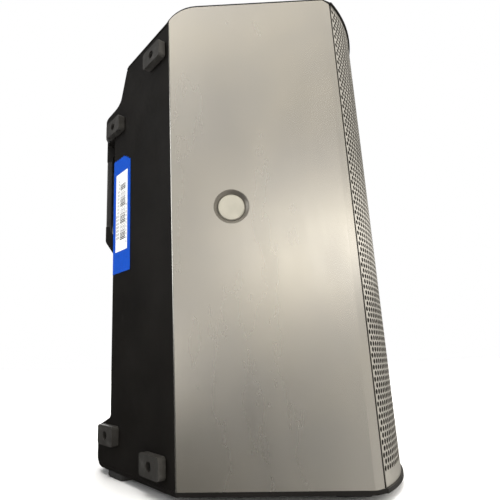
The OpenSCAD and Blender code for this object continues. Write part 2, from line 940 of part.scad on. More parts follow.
module latch_space(x) {
    box_y(x - 3.3, x + 3.3, panel_y - 1.2, panel_y + 3, jack_z + 9.9, jack_z + 14.1);
}

module jack_latch(x) {
    color("#7d7d7a") local() box_y(x - 3.1, x + 3.1, panel_y + 0.6, panel_y + 3.4, jack_z + 10.1, jack_z + 13.9);
}

module jack_1_latch() {
    jack_latch(-jack_x);
}

module jack_2_latch() {
    jack_latch(jack_x);
}

module line_output() {
    color("#191919") local() difference() {
        union() {
            plate_y(-jack_x, out_z, 26, 31, 3, panel_y, panel_y + 2);
            rod_y(-jack_x, out_z, 11.8, panel_y - 20, panel_y);
        }
        difference() {
            rod_y(-jack_x, out_z, 9.6, panel_y - 14, panel_y + 3);
            for (a = [90, 210, 330]) {
                translate([-jack_x, 0, out_z]) rotate([0, a, 0]) rod_y(4, 0, 1.2, panel_y - 15, panel_y - 3);
            }
        }
        for (k = [-1, 1]) {
            rod_y(-jack_x - k * 9.5, out_z + k * 12, 1.6, panel_y - 1, panel_y + 3);
        }
    }
}

module rocker_housing() {
    color("#161616") local() difference() {
        union() {
            plate_y(rocker_x, rocker_z, 19, 25, 1.5, panel_y, panel_y + 1.6);
            box_y(rocker_x - 7, rocker_x + 7, panel_y - 16, panel_y, rocker_z - 10, rocker_z + 10);
        }
        difference() {
            box_y(rocker_x - 5.6, rocker_x + 5.6, panel_y - 12, panel_y + 3, rocker_z - 9, rocker_z + 9);
            for (s = [-1, 1]) {
                translate([rocker_x + s * 5.6, panel_y - 2, rocker_z]) rotate([0, -s * 90, 0])
                    cylinder(r = rocker_pin, h = 1.5);
            }
        }
    }
}

// Rocker at rest in its off position, tilted about a pin along X
module power_rocker() {
    color("#8c1d18") local() translate([rocker_x, panel_y - 2, rocker_z]) rotate([rocker_tilt, 0, 0])
        difference() {
            translate([-5.3, 0, 0]) rotate([90, 0, 90]) linear_extrude(10.6) polygon(rounded([
                [-5, -3, 2], [1.5, -8, 0.6], [3.6, -8.1, 0.4], [2.2, 0, 8], [3.6, 8.1, 0.4],
                [1.5, 8, 0.6], [-5, 3, 2]
            ]));
            translate([-6, 0, 0]) rotate([0, 90, 0]) cylinder(r = rocker_pin + 0.08, h = 12);
        }
}

// Mains appliance inlet
module mains_inlet() {
    color("#181818") local() difference() {
        union() {
            plate_y(inlet_x, inlet_z, 48, 23.5, 3, panel_y, panel_y + 2.5);
            box_y(inlet_x - 13.7, inlet_x + 13.7, panel_y - 22, panel_y, inlet_z - 9.8, inlet_z + 9.8);
        }
        difference() {
            plate_y(inlet_x, inlet_z, 24.2, 16.4, 2.5, panel_y - 15, panel_y + 4);
            for (d = [-7, 0, 7]) {
                box_y(inlet_x + d - 2, inlet_x + d + 2, panel_y - 16, panel_y - 2, inlet_z - 1, inlet_z + 1);
            }
        }
        for (k = [-1, 1]) {
            rod_y(inlet_x + k * 20, inlet_z, 1.7, panel_y - 1, panel_y + 4);
        }
    }
}

module status_lights() {
    color("#7fc46a") local() for (dz = [-7, 0, 7]) {
        rod_y(0, gain_z + dz, 1.5, panel_y - 4, panel_y + 1);
    }
}

// Strip of tape with a plain tag, stuck on the left angled side
module tape_label() {
    color("#1d5fc4") local() mirror([1, 0, 0]) {
        on_bevel(109, 302) translate([-22, -75, 0]) cube([44, 150, 0.25]);
        on_bevel(109, 305, 0.25) translate([-15, -51, 0]) cube([30, 102, 0.2]);
    }
}

rear_shell();
side_panel_left();
side_panel_right();
top_cap();
bottom_cap();
front_baffle();
grille();
grille_foam();
woofer_frame_lower();
woofer_frame_upper();
woofer_magnet_lower();
woofer_magnet_upper();
woofer_surround_lower();
woofer_surround_upper();
woofer_cone_lower();
woofer_cone_upper();
dust_cap_lower();
dust_cap_upper();
line_plate();
line_domes();
line_magnets();
port_tubes();
cross_braces();
damping_pads();
fly_cups();
fly_plugs();
fly_inserts();
monitor_feet();
monitor_foot_screws();
floor_feet();
floor_foot_screws();
pole_socket();
handle_bar();
handle_grip();
handle_screws();
handle_pocket();
amp_panel();
amp_gasket();
amp_chassis();
heat_sink();
circuit_board();
transformer();
amp_screws();
control_pots();
gain_1_knob();
gain_2_knob();
treble_knob();
bass_knob();
input_1_button();
input_2_button();
button_housings();
input_jacks();
jack_1_latch();
jack_2_latch();
line_output();
power_rocker();
rocker_housing();
mains_inlet();
status_lights();
tape_label();
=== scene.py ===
"""Looks of the powered stage loudspeaker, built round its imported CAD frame.

Shapes are worked out in millimetres, in the CAD's axes, and mesh_of turns them into metres.
"""

import json
import math

import bmesh
import bpy
from mathutils import Matrix, Vector
from mathutils.geometry import delaunay_2d_cdt


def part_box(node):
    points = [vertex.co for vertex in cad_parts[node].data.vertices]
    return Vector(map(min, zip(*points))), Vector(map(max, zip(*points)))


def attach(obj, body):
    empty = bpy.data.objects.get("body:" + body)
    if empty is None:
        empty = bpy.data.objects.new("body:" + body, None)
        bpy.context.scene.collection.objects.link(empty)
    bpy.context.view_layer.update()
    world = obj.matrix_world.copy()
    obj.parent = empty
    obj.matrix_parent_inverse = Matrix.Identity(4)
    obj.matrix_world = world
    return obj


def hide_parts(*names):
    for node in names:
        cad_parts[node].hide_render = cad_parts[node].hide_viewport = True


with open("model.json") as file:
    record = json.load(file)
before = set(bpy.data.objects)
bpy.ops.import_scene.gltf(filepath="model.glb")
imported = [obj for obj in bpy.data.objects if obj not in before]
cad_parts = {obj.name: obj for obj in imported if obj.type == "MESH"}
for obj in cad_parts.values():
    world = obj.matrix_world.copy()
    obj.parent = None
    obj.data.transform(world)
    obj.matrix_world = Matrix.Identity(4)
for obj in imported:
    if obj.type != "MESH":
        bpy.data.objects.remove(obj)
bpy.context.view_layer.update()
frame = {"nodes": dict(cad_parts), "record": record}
NODES = frame["nodes"]
MM = 0.001

# Sizes shared with the CAD, in millimetres
HALF_W = 150.0
SIDE_LEN = 176.0
STRIP_X = 143.5
STRIP_Y = -186.0
BEVEL = math.radians(52)
SIDE_Z0 = 11.0
SIDE_Z1 = 518.3
SKIN = 1.5
CROWN = (-12.5, 0.5, 499.3)  # where the top's rear curve starts, ends, and its height there
CROWN_R = 38
DIMPLE = (-62.0, 276.0)
DIMPLE_R = 18.35
GRILLE_R = 215.0
KNOBS = {  # x, z and radius
    "gain_1_knob": (-22, 198, 7.5),
    "gain_2_knob": (22, 198, 7.5),
    "treble_knob": (-22, 174, 6.0),
    "bass_knob": (22, 174, 6.0),
}

# Sizes of the visual pieces, in millimetres
EDGE_ROLL = 1.6
FOLD_R = 5.0
GRILLE_SHEET = 1.0
HOLE_PITCH = 6.35
HOLE_R = 2.38
HOLE_ROWS = 89
HALF_COLUMNS = 24
GRILLE_MARGIN = 0.12  # plain sheet beyond the last column of hole cells
TAPE_M = (87.1, 130.9)  # reach along the angled side, from the side panel's edge
TAPE_Z = (227.6, 376.9)
TAPE_PEAK_M = 104  # the torn end slopes down from here
TAG_M = (94.2, 123.9)
TAG_Z = (254.4, 355.6)

EDGE_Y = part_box("side_panel_left")[1][1] / MM
PANEL_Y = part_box("amp_panel")[1][1] / MM


# ---------- mesh helpers ----------

def put(name, mesh, mat, body="cabinet", smooth=35):
    """Adds a finished mesh as a piece that rides on a body."""
    obj = bpy.data.objects.new(name, mesh)
    bpy.context.scene.collection.objects.link(obj)
    for m in mat if isinstance(mat, (list, tuple)) else [mat]:
        mesh.materials.append(m)
    if smooth:
        mesh.shade_smooth()
        mesh.set_sharp_from_angle(angle=math.radians(smooth))
    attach(obj, body)
    return obj


def mesh_of(name, verts, faces):
    mesh = bpy.data.meshes.new(name)
    mesh.from_pydata([Vector(v) * MM for v in verts], [], faces)
    mesh.update()
    return mesh


def outward(mesh):
    bm = bmesh.new()
    bm.from_mesh(mesh)
    bmesh.ops.recalc_face_normals(bm, faces=bm.faces)
    bm.to_mesh(mesh)
    bm.free()
    mesh.update()


def open_edges(faces):
    """Directed edges that belong to one face only."""
    used = dict.fromkeys((a, b) for f in faces for a, b in zip(f, f[1:] + f[:1]))
    return [(a, b) for a, b in used if (b, a) not in used]


def doubled(faces, count):
    """A closed sheet: its face, its back at each index plus count, and the walls between."""
    back = [[i + count for i in reversed(f)] for f in faces]
    walls = [[b, a, a + count, b + count] for a, b in open_edges(faces)]
    return faces + back + walls


def bevelled(mesh, width, segments=2, angle=40):
    """The mesh with its sharp edges rounded and its flats shaded flat."""
    mesh.shade_smooth()
    obj = bpy.data.objects.new("work", mesh)
    bpy.context.scene.collection.objects.link(obj)
    mod = obj.modifiers.new("edge", "BEVEL")
    mod.width = width * MM
    mod.segments = segments
    mod.limit_method = "ANGLE"
    mod.angle_limit = math.radians(angle)
    mod.use_clamp_overlap = True
    even = obj.modifiers.new("even", "WEIGHTED_NORMAL")
    even.weight = 100
    bpy.context.view_layer.update()
    got = bpy.data.meshes.new_from_object(obj.evaluated_get(bpy.context.evaluated_depsgraph_get()))
    bpy.data.objects.remove(obj)
    return got


def softened(node, width, mat, body="cabinet", segments=2, angle=40):
    """Stands for a CAD node with the same shape and its sharp edges rounded."""
    src = NODES[node].data
    bm = bmesh.new()
    verts = [bm.verts.new(v.co) for v in src.vertices]
    bm.verts.index_update()
    for p in src.polygons:
        try:
            bm.faces.new([verts[i] for i in p.vertices])
        except ValueError:
            pass  # a face that repeats an earlier one
    bmesh.ops.remove_doubles(bm, verts=bm.verts, dist=3e-6)
    bmesh.ops.dissolve_limit(bm, angle_limit=math.radians(0.4), verts=bm.verts, edges=bm.edges)
    bmesh.ops.recalc_face_normals(bm, faces=bm.faces)
    mesh = bpy.data.meshes.new(node + "_soft")
    bm.to_mesh(mesh)
    bm.free()
    obj = put(node + "_soft", bevelled(mesh, width, segments, angle), mat, body, 0)
    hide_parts(node)
    return obj


def fillet(a, p, b, r, n=8):
    """Points of an arc of radius r at corner p between a and b."""
    a, p, b = Vector(a), Vector(p), Vector(b)
    da, db = (a - p).normalized(), (b - p).normalized()
    half = da.angle(db) / 2
    cut = r / math.tan(half)
    centre = p + (da + db).normalized() * r / math.sin(half)
    start, end = p + da * cut - centre, p + db * cut - centre
    turn = start.angle_signed(end)
    return [centre + Matrix.Rotation(-turn * k / n, 2) @ start for k in range(n + 1)]


# ---------- material helpers ----------

def shades(colour, low, high):
    """A darker and a lighter version of a colour."""
    return tuple(c * low for c in colour), tuple(min(1.0, c * high) for c in colour)


class Surface:
    """A node material on object coordinates, so scales are per metre."""

    def __init__(self, name, colour, rough, metal=0.0):
        self.mat = bpy.data.materials.new(name)
        self.mat.use_nodes = True
        self.tree = self.mat.node_tree
        self.shader = self.tree.nodes["Principled BSDF"]
        self.shader.inputs["Base Color"].default_value = (*colour, 1)
        self.shader.inputs["Roughness"].default_value = rough
        self.shader.inputs["Metallic"].default_value = metal
        self.colour = colour
        self.coord = self.tree.nodes.new("ShaderNodeTexCoord").outputs["Object"]
        self.normal = None

    def node(self, kind, **values):
        n = self.tree.nodes.new(kind)
        for key, value in values.items():
            setattr(n, key, value)
        return n

    def link(self, a, b):
        self.tree.links.new(a, b)

    def stretched(self, sx, sy, sz, turn=(0, 0, 0)):
        m = self.node("ShaderNodeMapping")
        m.inputs["Scale"].default_value = (sx, sy, sz)
        m.inputs["Rotation"].default_value = turn
        self.link(self.coord, m.inputs["Vector"])
        return m.outputs["Vector"]

    def noise(self, scale, detail=3.0, rough=0.5, vector=None, warp=0.0):
        n = self.node("ShaderNodeTexNoise")
        n.inputs["Scale"].default_value = scale
        n.inputs["Detail"].default_value = detail
        n.inputs["Roughness"].default_value = rough
        n.inputs["Distortion"].default_value = warp
        self.link(vector or self.coord, n.inputs["Vector"])
        return n.outputs["Fac"]

    def cells(self, scale, feature="F1", vector=None):
        n = self.node("ShaderNodeTexVoronoi", feature=feature)
        n.inputs["Scale"].default_value = scale
        self.link(vector or self.coord, n.inputs["Vector"])
        return n.outputs["Distance"]

    def spread(self, value, lo, hi, out_lo, out_hi):
        n = self.node("ShaderNodeMapRange")
        for key, v in (("From Min", lo), ("From Max", hi), ("To Min", out_lo), ("To Max", out_hi)):
            n.inputs[key].default_value = v
        self.link(value, n.inputs["Value"])
        return n.outputs["Result"]

    def ranged(self, noise, lo=0.0, hi=1.0):
        """Stretches the middle of a noise, where most of its values lie, to lo..hi."""
        return self.spread(noise, 0.3, 0.7, lo, hi)

    def times(self, a, b):
        n = self.node("ShaderNodeMath", operation="MULTIPLY")
        self.link(a, n.inputs[0])
        if isinstance(b, float):
            n.inputs[1].default_value = b
        else:
            self.link(b, n.inputs[1])
        return n.outputs[0]

    def most(self, a, b):
        n = self.node("ShaderNodeMath", operation="MAXIMUM")
        self.link(a, n.inputs[0])
        self.link(b, n.inputs[1])
        return n.outputs[0]

    def blend(self, fac, a, b):
        n = self.node("ShaderNodeMix", data_type="RGBA")
        self.link(fac, n.inputs["Factor"])
        for key, v in ((6, a), (7, b)):
            if isinstance(v, tuple):
                n.inputs[key].default_value = (*v, 1)
            else:
                self.link(v, n.inputs[key])
        return n.outputs[2]

    def paint(self, colour):
        self.link(colour, self.shader.inputs["Base Color"])
        return self

    def dull(self, value):
        self.link(value, self.shader.inputs["Roughness"])
        return self

    def bump(self, height, depth, strength=1.0):
        n = self.node("ShaderNodeBump")
        n.inputs["Strength"].default_value = strength
        n.inputs["Distance"].default_value = depth
        self.link(height, n.inputs["Height"])
        if self.normal:
            self.link(self.normal, n.inputs["Normal"])
        self.normal = n.outputs["Normal"]
        self.link(self.normal, self.shader.inputs["Normal"])
        return self

    def tone(self, low, high, scale, detail=4.0):
        """Colour drifting between two shades of the base."""
        f = self.ranged(self.noise(scale, detail, 0.55))
        return self.blend(f, *shades(self.colour, low, high))

    def scratches(self, scale, amount, turn=(0, 0, 0)):
        """Few fine hairlines, 0 to 1."""
        v = self.stretched(1, 1, 0.35, turn)
        line = self.spread(self.cells(scale, "DISTANCE_TO_EDGE", v), 0.0, 0.012, 1, 0)
        some = self.spread(self.noise(scale * 0.7, 2), 1 - amount, 1.05 - amount, 0, 1)
        return self.times(line, some)


def moulded(name, colour, rough, grain=1500.0, depth=0.00009, wear=0.35, metal=0.0):
    """Moulded or textured plastic with a fine pebble, smudges and light scratches."""
    s = Surface(name, colour, rough, metal)
    s.shader.inputs["Specular IOR Level"].default_value = 0.16
    marks = s.most(s.scratches(14, wear), s.scratches(31, wear * 0.9, (0.4, 0.9, 0.2)))
    base = s.tone(0.82, 1.25, 18)
    s.paint(s.blend(s.times(marks, 0.5), base, tuple(min(1.0, c * 3 + 0.06) for c in colour)))
    s.dull(s.ranged(s.noise(26, 5, 0.6), rough - 0.07, rough + 0.08))
    s.bump(s.cells(grain), depth, 0.6)
    s.bump(s.noise(grain * 0.35, 3), depth, 0.35)
    s.bump(marks, 0.00005, 0.5)
    return s


def metal(name, colour, rough, grain=(1.0, 1.0, 1.0), scale=500.0, depth=0.00003, shine=1.0):
    """Plain or brushed metal; grain stretches the fine lines."""
    s = Surface(name, colour, rough, shine)
    v = s.stretched(*grain)
    s.paint(s.tone(0.86, 1.1, 30))
    s.dull(s.ranged(s.noise(scale, 4, 0.6, v), rough - 0.06, rough + 0.08))
    s.bump(s.noise(scale, 4, 0.6, v), depth, 0.5)
    return s


# ---------- materials, one for each slot ----------

def satin_panel():
    s = Surface("satin silver sheet", (0.565, 0.54, 0.485), 0.36, 0.93)
    cloud = s.noise(7, 3, 0.5)
    fine = s.noise(900, 3, 0.6)
    smear = s.noise(16, 5, 0.6, s.stretched(1, 1, 0.3))
    marks = s.most(s.scratches(9, 0.27), s.scratches(23, 0.26, (1.1, 0.3, 0.6)))
    tint = s.blend(s.spread(cloud, 0.35, 0.65, 0, 1), (0.535, 0.515, 0.475), (0.595, 0.565, 0.5))
    s.paint(s.blend(s.times(marks, 0.12), tint, (0.2, 0.19, 0.17)))
    s.dull(s.ranged(smear, 0.22, 0.3))
    s.bump(cloud, 0.0011, 0.22)
    s.bump(fine, 0.000012, 0.35)
    return s


def silver_mesh():
    s = Surface("silver coated steel", (0.66, 0.635, 0.575), 0.33, 0.85)
    s.paint(s.tone(0.9, 1.08, 40))
    s.dull(s.ranged(s.noise(60, 4), 0.28, 0.4))
    s.bump(s.noise(1600, 3), 0.00003, 0.4)
    return s


def rubber(name, colour, rough=0.7, speck=2600.0):
    s = Surface(name, colour, rough)
    dust = s.spread(s.noise(85, 6, 0.7), 0.52, 0.75, 0, 0.55)
    s.paint(s.blend(dust, s.tone(0.85, 1.2, 45), tuple(min(1.0, c * 1.5 + 0.03) for c in colour)))
    s.dull(s.ranged(s.noise(120, 4), rough - 0.08, rough + 0.1))
    s.bump(s.noise(speck, 3, 0.6), 0.00007, 0.6)
    return s


def open_foam():
    s = Surface("open acoustic foam", (0.02, 0.017, 0.013), 0.95)
    pores = s.cells(620)
    s.paint(s.blend(s.spread(pores, 0.1, 0.7, 0, 1), (0.024, 0.021, 0.016), (0.008, 0.007, 0.005)))
    s.bump(pores, 0.0006, 0.9)
    return s


def creped_tape():
    s = Surface("creped blue tape", (0.004, 0.075, 0.5), 0.55)
    across = s.stretched(1, 1, 9)
    crepe = s.noise(150, 5, 0.6, across, 0.6)
    s.paint(s.blend(s.ranged(crepe), (0.001, 0.05, 0.38), (0.004, 0.085, 0.54)))
    s.dull(s.ranged(crepe, 0.42, 0.6))
    s.bump(crepe, 0.00018, 0.7)
    s.bump(s.noise(42, 3), 0.0008, 0.35)
    s.shader.inputs["Specular IOR Level"].default_value = 0.2
    return s


def tag_paper():
    s = Surface("tag paper", (0.93, 0.935, 0.93), 0.55)
    s.paint(s.tone(0.95, 1.03, 60))
    s.dull(s.ranged(s.noise(140, 4), 0.48, 0.62))
    s.bump(s.noise(900, 4), 0.00003, 0.5)
    s.bump(s.noise(30, 2), 0.0005, 0.3)
    return s


def grained_wood(name, colour, rough):
    s = Surface(name, colour, rough)
    v = s.stretched(1, 1, 0.08)
    rings = s.noise(260, 5, 0.6, v, 1.5)
    s.paint(s.blend(s.ranged(rings), *shades(colour, 0.7, 1.3)))
    s.dull(s.ranged(rings, rough - 0.08, rough + 0.08))
    s.bump(rings, 0.0002, 0.5)
    return s


def fibre(name, colour):
    s = Surface(name, colour, 0.95)
    strands = s.noise(320, 6, 0.75, None, 2.5)
    s.paint(s.blend(s.ranged(strands), *shades(colour, 0.6, 1.25)))
    s.bump(strands, 0.0016, 0.8)
    s.shader.inputs["Sheen Weight"].default_value = 0.3
    return s


def board():
    s = Surface("circuit board", (0.03, 0.16, 0.06), 0.35)
    lines = s.spread(s.cells(260, "DISTANCE_TO_EDGE"), 0.02, 0.05, 1, 0)
    s.paint(s.blend(s.times(lines, 0.6), s.tone(0.85, 1.2, 60), (0.07, 0.3, 0.13)))
    s.dull(s.ranged(s.noise(200, 3), 0.28, 0.42))
    s.bump(lines, 0.00005, 0.5)
    return s


def windings():
    s = Surface("wound copper", (0.6, 0.3, 0.12), 0.32, 0.9)
    w = s.node("ShaderNodeTexWave", wave_type="BANDS", bands_direction="Z")
    w.inputs["Scale"].default_value = 320
    w.inputs["Distortion"].default_value = 0.6
    s.link(s.coord, w.inputs["Vector"])
    s.paint(s.blend(w.outputs["Fac"], (0.35, 0.16, 0.06), (0.68, 0.36, 0.15)))
    s.bump(w.outputs["Fac"], 0.0003, 0.6)
    s.dull(s.ranged(s.noise(300, 3), 0.26, 0.42))
    return s


SLOTS = {
    "shell_black": moulded("moulded black shell", (0.0085, 0.0074, 0.0064), 0.45),
    "silver_panel": satin_panel(),
    "cap_black": moulded("moulded black cap", (0.009, 0.008, 0.0072), 0.4, 1800.0, 0.00006),
    "baffle_board": grained_wood("black stained board", (0.022, 0.02, 0.018), 0.6),
    "grille_silver": silver_mesh(),
    "foam": open_foam(),
    "driver_frame": moulded("cast black frame", (0.03, 0.03, 0.03), 0.5, 900.0, 0.00012, 0.3, 0.4),
    "magnet": metal("ferrite and plate", (0.16, 0.16, 0.165), 0.5, scale=700.0),
    "rubber": rubber("black rubber", (0.022, 0.021, 0.02)),
    "cone_paper": fibre("coated paper cone", (0.035, 0.033, 0.031)),
    "black_plastic": moulded("black plastic", (0.009, 0.0082, 0.0076), 0.43, 2100.0, 0.00005),
    "dome_metal": metal("spun dome", (0.52, 0.5, 0.46), 0.3, scale=900.0),
    "wood_brace": grained_wood("plain brace", (0.46, 0.31, 0.17), 0.62),
    "wadding": fibre("loose wadding", (0.62, 0.6, 0.55)),
    "silver_plastic": moulded("silver plastic", (0.46, 0.44, 0.375), 0.36, 1700.0, 0.00004, 0.3, 0.35),
    "steel": metal("zinc plated steel", (0.5, 0.5, 0.48), 0.34, (1, 1, 6)),
    "grey_rubber": rubber("hard grey rubber", (0.026, 0.024, 0.021), 0.55),
    "black_steel": moulded("black coated steel", (0.02, 0.02, 0.02), 0.42, 1900.0, 0.00006, 0.3, 0.3),
    "heat_sink_metal": metal("black anodised fins", (0.035, 0.035, 0.036), 0.38, (1, 1, 5)),
    "board_green": board(),
    "copper": windings(),
    "knob_black": rubber("soft black knob", (0.016, 0.016, 0.016), 0.5, 3200.0),
    "button_grey": moulded("grey button", (0.36, 0.36, 0.34), 0.4, 2400.0, 0.00003),
    "rocker_red": moulded("red rocker", (0.3, 0.012, 0.01), 0.24, 2600.0, 0.00002, 0.25),
    "light_green": moulded("green lens", (0.12, 0.5, 0.1), 0.16, 2600.0, 0.00002, 0.2),
    "tape_blue": creped_tape(),
}
MAT = {key: s.mat for key, s in SLOTS.items()}
PRINT = moulded("pale panel print", (0.62, 0.61, 0.58), 0.5, 2600.0, 0.00001, 0.25).mat
PAPER = tag_paper().mat
CUT_EDGE = metal("shaded hole edge", (0.1, 0.09, 0.075), 0.5, scale=1500.0, shine=0.6).mat
CUP = metal("shaded cup", (0.2, 0.185, 0.16), 0.4, scale=800.0, shine=0.7).mat
INK = moulded("printed bars", (0.03, 0.03, 0.032), 0.5, 2600.0, 0.00001, 0.2).mat

for entry in frame["record"]["subparts"]:
    data = NODES[entry["node"]].data
    data.materials.clear()
    data.materials.append(MAT[entry["material_slot"]])
NODES["fly_cups"].data.materials[0] = CUP


# ---------- silver side panels ----------

def top_edge():
    """The side panel's top outline, as distances from its rear edge with their heights."""
    start, crown, end = (-260, SIDE_Z1), (CROWN[0], SIDE_Z1), CROWN[1:]
    return [start] + [tuple(p) for p in fillet(start, crown, end, CROWN_R, 14)] + [end]


def height_at(y, line):
    for (y0, z0), (y1, z1) in zip(line, line[1:]):
        if y0 <= y <= y1:
            return z0 + (z1 - z0) * (y - y0) / (y1 - y0)
    return line[-1][1]


def sheet_path():
    """Plan of the right sheet's outer face: rolled rear edge, flat, folded strip and its lip."""
    turns = [math.pi / 2 * k / 6 for k in range(7)]
    corner = (HALF_W - EDGE_ROLL, -EDGE_ROLL)
    roll = [Vector((corner[0] + EDGE_ROLL * math.sin(a), corner[1] + EDGE_ROLL * math.cos(a))) for a in turns]
    fold = fillet((HALF_W, 0), (HALF_W, -SIDE_LEN), (STRIP_X, STRIP_Y), FOLD_R, 7)
    lip = fillet((HALF_W, -SIDE_LEN), (STRIP_X + 0.2, STRIP_Y + 0.17), (STRIP_X - 1.5, STRIP_Y + 3.2), 0.7, 4)
    return roll, fold + lip + [Vector((STRIP_X - 0.75, STRIP_Y + 1.3))]


def side_panel(side, node):
    """Bent sheet with the fly point's hole, cut flat and then wrapped round its plan."""
    roll, rest = sheet_path()
    path = roll + rest
    run = [0.0]
    for a, b in zip(path, path[1:]):
        run.append(run[-1] + (b - a).length)
    ahead = [(b - a).normalized() for a, b in zip(path, path[1:])]
    ahead = [ahead[0]] + [(a + b).normalized() for a, b in zip(ahead, ahead[1:])] + [ahead[-1]]

    def place(s, depth):
        """Plan point at length s along the sheet, depth below its outer face."""
        k = max(i for i in range(len(run) - 1) if run[i] <= s + 1e-7)
        f = min(1.0, (s - run[k]) / (run[k + 1] - run[k]))
        p = path[k].lerp(path[k + 1], f)
        d = ahead[k].lerp(ahead[k + 1], f).normalized()
        out = Vector((-d.y, d.x))
        if out.x < 0 and k < len(roll):
            out = -out
        return p - out * depth

    flat0, flat1 = run[len(roll) - 1], run[len(roll)]
    crown_stops = [flat0 + (flat1 - flat0) * (k / 40) ** 1.6 for k in range(1, 24)]
    stops = sorted(set(round(s, 5) for s in run + crown_stops))
    line = top_edge()
    outline = [(s, SIDE_Z0) for s in stops]
    outline += [(s, height_at(min(0.0, place(s, 0).y), line)) for s in reversed(stops)]
    n = len(stops)
    edges = [(i, (i + 1) % (2 * n)) for i in range(2 * n)]
    for s in run[1:-1]:
        i = min(range(n), key=lambda j: abs(stops[j] - s))
        edges.append((i, 2 * n - 1 - i))
    centre = Vector((flat0 - EDGE_ROLL - DIMPLE[0], DIMPLE[1]))
    sides = 64
    turns = [math.tau * k / sides for k in range(sides)]
    ring = [(centre.x + DIMPLE_R * math.cos(a), centre.y + DIMPLE_R * math.sin(a)) for a in turns]
    edges += [(2 * n + k, 2 * n + (k + 1) % sides) for k in range(sides)]
    got, _, tris, _, _, _ = delaunay_2d_cdt([Vector(v) for v in outline + ring], edges, [], 0, 1e-6)
    middles = [sum((got[i] for i in t), Vector((0, 0))) / len(t) for t in tris]
    keep = [list(t) for t, c in zip(tris, middles) if (c - centre).length > DIMPLE_R * 0.99]
    points = []
    for depth in (0.0, SKIN - 0.05):
        for v in got:
            p = place(v.x, depth)
            points.append((side * p.x, p.y + EDGE_Y, v.y))
    mesh = mesh_of(node + "_sheet", points, doubled(keep, len(got)))
    outward(mesh)
    obj = put(node + "_sheet", bevelled(mesh, 0.35, 2, 55), MAT["silver_panel"], "cabinet", 0)
    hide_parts(node)


side_panel(-1, "side_panel_left")
side_panel(1, "side_panel_right")


# ---------- perforated grille ----------

class HoleSheet:
    """A flat sheet of staggered round holes, each in its own hexagonal cell."""

    sides = 12
    corner = HOLE_PITCH / math.sqrt(3)
    row_height = 1.5 * corner
    rise = 3.6  # how far the rows sit above the middle of the sheet

    def __init__(self, z0, z1):
        self.z0, self.z1 = z0, z1
        self.u_lim = (HALF_COLUMNS + 0.5) * HOLE_PITCH + GRILLE_MARGIN
        self.first = (z0 + z1) / 2 - self.row_height * (HOLE_ROWS - 1) / 2 + self.rise
        self.last = self.first + self.row_height * (HOLE_ROWS - 1)
        self.index, self.flat, self.faces, self.hole_points, self.links = {}, [], [], set(), {}
        for row in range(HOLE_ROWS):
            wide = HALF_COLUMNS if row % 2 == 0 else HALF_COLUMNS - 0.5
            for i in range(int(2 * wide) + 1):
                self.cell((i - wide) * HOLE_PITCH, self.first + row * self.row_height)
        self.border()

    def at(self, u, v):
        """Index of the point u, v; points shared by cells are made once."""
        key = (round(64 * u / HOLE_PITCH), round(64 * (v - self.first) / self.corner))
        if key not in self.index:
            self.index[key] = len(self.flat)
            self.flat.append((u, v))
        return self.index[key]

    def cell(self, u, v):
        outer, hole = [], []
        for k in range(self.sides):
            a = math.tau * k / self.sides
            r = self.corner if k % 2 else HOLE_PITCH / 2
            outer.append(self.at(u + r * math.cos(a), v + r * math.sin(a)))
            hole.append(len(self.flat))
            self.flat.append((u + HOLE_R * math.cos(a), v + HOLE_R * math.sin(a)))
        self.hole_points.update(hole)
        for k in range(self.sides):
            m = (k + 1) % self.sides
            self.faces.append([hole[k], outer[k], outer[m], hole[m]])

    def outer(self, i, way):
        """The point on the sheet's edge that rim point i runs straight out to."""
        u, v = self.flat[i]
        if (i, way) not in self.links:
            spots = {"l": (-self.u_lim, v), "r": (self.u_lim, v), "b": (u, self.z0), "t": (u, self.z1)}
            self.links[i, way] = self.at(*spots[way])
        return self.links[i, way]

    def way_of(self, i, j):
        """The sheet's edge that the rim between points i and j faces."""
        v = (self.flat[i][1] + self.flat[j][1]) / 2
        reach = self.corner / 2 - 0.1
        if self.first - reach <= v <= self.last + reach:
            near = (HALF_COLUMNS - 0.6) * HOLE_PITCH
            if max(self.flat[i][0], self.flat[j][0]) < -near:
                return "l"
            if min(self.flat[i][0], self.flat[j][0]) > near:
                return "r"
        return "b" if v < (self.z0 + self.z1) / 2 else "t"

    def border(self):
        """The plain margin between the outermost cells and the sheet's edges."""
        rim = [e for e in open_edges(self.faces) if not self.hole_points.intersection(e)]
        ways = {}
        for a, b in rim:
            way = self.way_of(a, b)
            ways.setdefault(a, set()).add(way)
            ways.setdefault(b, set()).add(way)
            self.faces.append([b, a, self.outer(a, way), self.outer(b, way)])
        for i, met in ways.items():
            if len(met) == 2:
                side = "l" if "l" in met else "r"
                end = "t" if "t" in met else "b"
                c = self.at(-self.u_lim if side == "l" else self.u_lim, self.z1 if end == "t" else self.z0)
                quad = [i, self.outer(i, end), c, self.outer(i, side)]
                self.faces.append(quad if (side == "l") == (end == "b") else quad[::-1])


def grille():
    """The perforated sheet, rolled to the grille's radius."""
    low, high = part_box("grille")
    centre_y = low[1] / MM + GRILLE_R
    sheet = HoleSheet(low[2] / MM, high[2] / MM)
    turned = [(u / GRILLE_R, v) for u, v in sheet.flat]
    points = [(r * math.sin(a), centre_y - r * math.cos(a), v)
              for r in (GRILLE_R, GRILLE_R - GRILLE_SHEET) for a, v in turned]
    shown = len(sheet.faces)
    faces = doubled(sheet.faces, len(turned))
    mesh = mesh_of("perforated_grille", points, faces)
    outward(mesh)
    mesh.polygons.foreach_set("material_index", [0] * shown + [1] * (len(faces) - shown))
    obj = put("perforated_grille", mesh, [MAT["grille_silver"], CUT_EDGE], "cabinet", 35)
    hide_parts("grille")


grille()


# ---------- black shell, caps, feet and handle ----------

